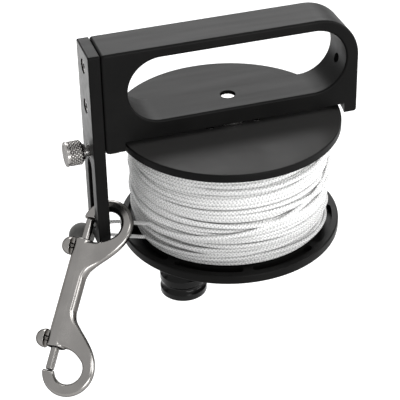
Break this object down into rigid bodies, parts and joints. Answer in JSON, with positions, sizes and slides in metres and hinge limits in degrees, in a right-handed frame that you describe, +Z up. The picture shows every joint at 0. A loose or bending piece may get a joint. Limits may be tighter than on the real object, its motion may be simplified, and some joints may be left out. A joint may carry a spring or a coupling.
{
  "type": "dive reel",
  "caption": "Hand-held dive reel: grip block with side bar, line spool on bearings, winding knob, lock screw, stopper ball and double-ended bolt snap.",
  "frame": {"origin": "where the spool's axis meets the flat top of the grip block", "axes": "+Z up along the spool's axis out of the grip's top, +X along the grip away from the side bar, +Y away from the face that the picture shows"},
  "size_m": [0.1961, 0.1402, 0.1672],
  "materials": {
    "black_acetal": "machined, satin",
    "black_knob": "turned, glossy",
    "polished_steel": "polished stainless steel",
    "screw_steel": "bright stainless steel",
    "pale_nylon": "turned nylon",
    "white_line": "braided nylon line",
    "grey_rubber": "moulded, matt"
  },
  "bodies": {
    "handle": {"grip_block": "black_acetal", "side_bar": "black_acetal", "bar_screw_upper": "screw_steel", "bar_screw_lower": "screw_steel", "axle": "screw_steel", "axle_insert": "screw_steel", "axle_washer_upper": "screw_steel", "axle_washer_lower": "screw_steel", "lock_insert": "screw_steel", "line_end": "white_line", "stopper_ball": "grey_rubber"},
    "spool": {"spool_hub": "black_acetal", "top_flange": "black_acetal", "bottom_flange": "black_acetal", "bearing_upper": "screw_steel", "bearing_lower": "screw_steel", "line_core": "white_line", "line_turns": "white_line", "knob_bush": "pale_nylon", "knob_washer": "screw_steel", "knob_spindle": "screw_steel", "flange_screw_upper_1": "screw_steel", "flange_screw_upper_2": "screw_steel", "flange_screw_upper_3": "screw_steel", "flange_screw_lower_1": "screw_steel", "flange_screw_lower_2": "screw_steel", "flange_screw_lower_3": "screw_steel"},
    "winding_knob": {"winding_knob": "black_knob"},
    "lock_pad": {"lock_pad": "pale_nylon"},
    "lock_screw": {"lock_knob": "polished_steel", "lock_stud": "screw_steel"},
    "snap": {"snap_body": "polished_steel", "snap_spring_upper": "screw_steel", "snap_spring_lower": "screw_steel"},
    "snap_bolt_upper": {"snap_bolt_upper": "polished_steel", "snap_thumb_upper": "polished_steel"},
    "snap_bolt_lower": {"snap_bolt_lower": "polished_steel", "snap_thumb_lower": "polished_steel"}
  },
  "joints": [
    {"name": "spool_turn", "type": "hinge", "parent": "handle", "child": "spool", "pos_m": [0, 0, -0.09], "axis": [0, 0, 1], "continuous": true},
    {"name": "winding_knob_turn", "type": "hinge", "parent": "spool", "child": "winding_knob", "pos_m": [-0.03724, -0.03092, -0.135], "axis": [0, 0, 1], "continuous": true},
    {"name": "lock_travel", "type": "slide", "parent": "handle", "child": "lock_pad", "axis": [1, 0, 0], "range_m": [-0.0025, 0.0011]},
    {"name": "lock_turn", "type": "hinge", "parent": "lock_pad", "child": "lock_screw", "pos_m": [-0.08, -0.00305, -0.0616], "axis": [1, 0, 0], "range_deg": [-901, 397]},
    {"name": "snap_swing", "type": "hinge", "parent": "handle", "child": "snap", "pos_m": [-0.07665, -0.0031, -0.1], "axis": [-0.9146, 0.118, -0.3868], "range_deg": [0, 55]},
    {"name": "snap_bolt_upper_slide", "type": "slide", "parent": "snap", "child": "snap_bolt_upper", "axis": [-0.4634, -0.6277, -0.6255], "range_m": [0, 0.0095], "stiffness_N_per_m": 300, "springref_m": -0.006, "deforming": ["snap_spring_upper"]},
    {"name": "snap_bolt_lower_slide", "type": "slide", "parent": "snap", "child": "snap_bolt_lower", "axis": [0.4634, 0.6277, 0.6255], "range_m": [0, 0.0095], "stiffness_N_per_m": 300, "springref_m": -0.006, "deforming": ["snap_spring_lower"]}
  ],
  "couplings": [
    {"joint": "lock_turn", "follows": "lock_travel", "rad_per_m": 6283.2}
  ]
}
